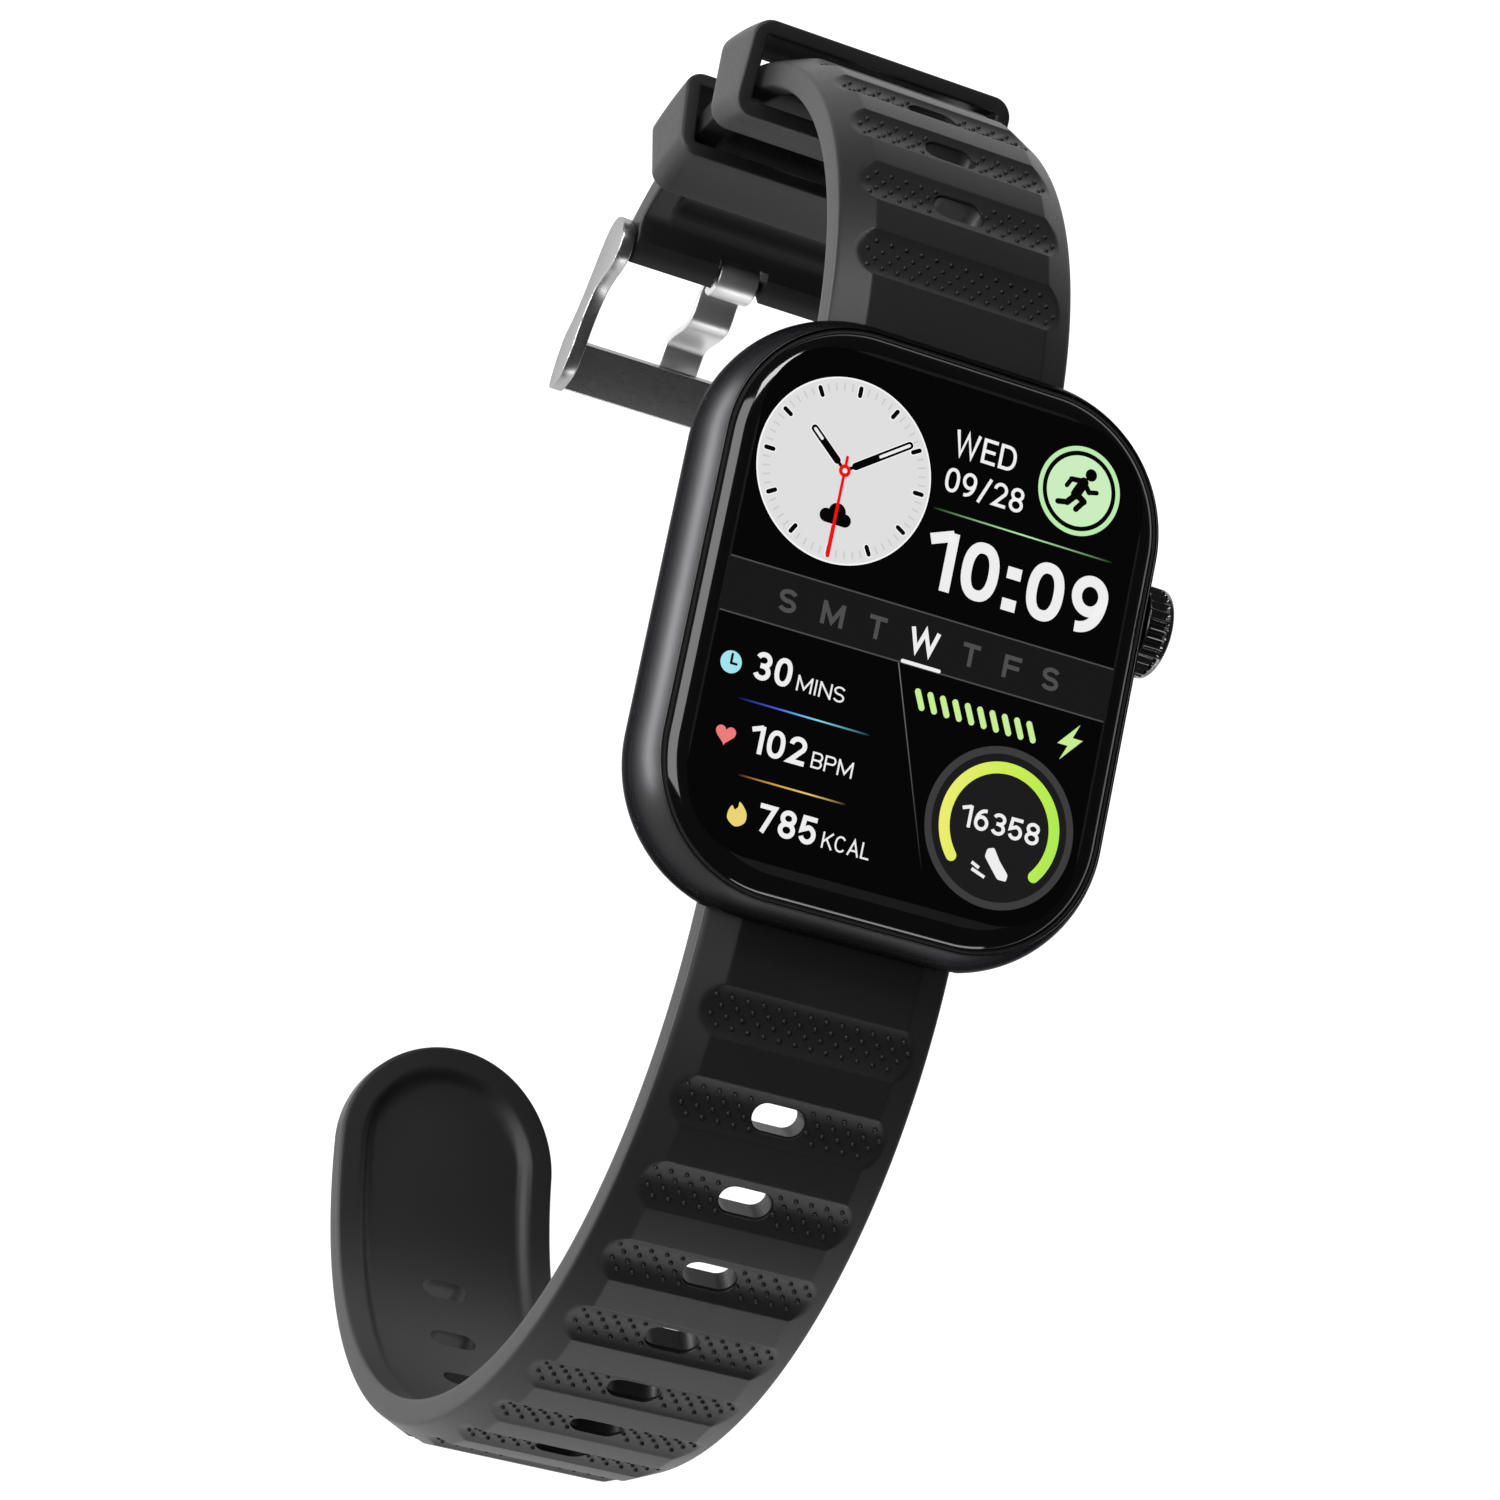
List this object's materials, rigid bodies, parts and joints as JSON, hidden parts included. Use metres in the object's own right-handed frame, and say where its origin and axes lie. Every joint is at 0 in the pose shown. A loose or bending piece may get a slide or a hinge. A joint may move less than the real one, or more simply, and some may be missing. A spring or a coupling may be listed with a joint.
{
  "type": "smartwatch",
  "caption": "Black rounded-rectangle smartwatch with a side crown and a grooved silicone strap with a steel tongue buckle and two strap loops.",
  "frame": {"origin": "centre of the flat sensor window on the back of the case", "axes": "+X towards the crown, +Y towards the 12 o'clock strap, +Z out of the display"},
  "size_m": [0.0415, 0.1234, 0.0928],
  "materials": {
    "case_metal": "satin",
    "crown_metal": "satin",
    "cover_glass": "gloss",
    "display": "gloss",
    "strap_rubber": "matte",
    "loop_rubber": "matte",
    "buckle_steel": "satin",
    "tongue_steel": "polished",
    "pin_steel": "satin",
    "back_plastic": "gloss",
    "sensor_glass": "gloss",
    "seal_rubber": "matte",
    "contact_metal": "polished",
    "board": "matte",
    "flex": "satin",
    "shield": "satin",
    "battery_foil": "satin",
    "bracket": "matte"
  },
  "bodies": {
    "case": {"case_frame": "case_metal", "back_cover": "back_plastic", "back_gasket": "seal_rubber", "back_screws": "pin_steel", "sensor_window": "sensor_glass", "sensor_board": "board", "charge_contacts": "contact_metal", "cover_glass": "cover_glass", "glass_gasket": "seal_rubber", "display_panel": "display", "display_flex": "flex", "inner_bracket": "bracket", "mainboard": "board", "shield_can": "shield", "battery": "battery_foil", "vibration_motor": "shield", "antenna_flex": "flex", "crown_tube": "pin_steel", "crown_switch": "bracket"},
    "plunger": {"crown_plunger": "bracket"},
    "crown": {"crown_stem": "pin_steel", "crown_seal": "seal_rubber", "crown_cap": "crown_metal"},
    "upper_strap": {"upper_strap": "strap_rubber", "upper_bar_tube": "pin_steel", "upper_bar_pin": "pin_steel", "upper_bar_spring": "pin_steel", "buckle_bar": "pin_steel"},
    "lower_strap": {"lower_strap": "strap_rubber", "lower_bar_tube": "pin_steel", "lower_bar_pin": "pin_steel", "lower_bar_spring": "pin_steel"},
    "upper_release": {"upper_release_pin": "pin_steel"},
    "lower_release": {"lower_release_pin": "pin_steel"},
    "free_loop": {"free_loop": "loop_rubber"},
    "buckle_loop": {"buckle_loop": "loop_rubber"},
    "buckle": {"buckle_frame": "buckle_steel"},
    "tongue": {"buckle_tongue": "tongue_steel"}
  },
  "joints": [
    {"name": "crown_press", "type": "slide", "parent": "case", "child": "plunger", "axis": [-1, 0, 0], "range_m": [0, 0.0003], "stiffness_N_per_m": 2000},
    {"name": "crown_turn", "type": "hinge", "parent": "plunger", "child": "crown", "pos_m": [0, 0.007, 0.007], "axis": [1, 0, 0], "continuous": true},
    {"name": "upper_strap_hinge", "type": "hinge", "parent": "case", "child": "upper_strap", "pos_m": [0, 0.0209, 0.00525], "axis": [-1, 0, 0], "range_deg": [-5, 30]},
    {"name": "lower_strap_hinge", "type": "hinge", "parent": "case", "child": "lower_strap", "pos_m": [0, -0.0209, 0.00525], "axis": [1, 0, 0], "range_deg": [-5, 30]},
    {"name": "upper_release_slide", "type": "slide", "parent": "upper_strap", "child": "upper_release", "axis": [-1, 0, 0], "range_m": [0, 0.001], "stiffness_N_per_m": 500},
    {"name": "lower_release_slide", "type": "slide", "parent": "lower_strap", "child": "lower_release", "axis": [-1, 0, 0], "range_m": [0, 0.001], "stiffness_N_per_m": 500},
    {"name": "free_loop_slide", "type": "hinge", "parent": "upper_strap", "child": "free_loop", "pos_m": [0, 0.02085, -0.02655], "axis": [-1, 0, 0], "range_deg": [-25, 5]},
    {"name": "buckle_loop_slide", "type": "hinge", "parent": "upper_strap", "child": "buckle_loop", "pos_m": [0, 0.02085, -0.02655], "axis": [-1, 0, 0], "range_deg": [-5, 5]},
    {"name": "buckle_hinge", "type": "hinge", "parent": "upper_strap", "child": "buckle", "pos_m": [0, 0.04197, -0.04842], "axis": [1, 0, 0], "range_deg": [-40, 40]},
    {"name": "tongue_hinge", "type": "hinge", "parent": "buckle", "child": "tongue", "pos_m": [0, 0.04197, -0.04842], "axis": [1, 0, 0], "range_deg": [-7, 60]}
  ]
}
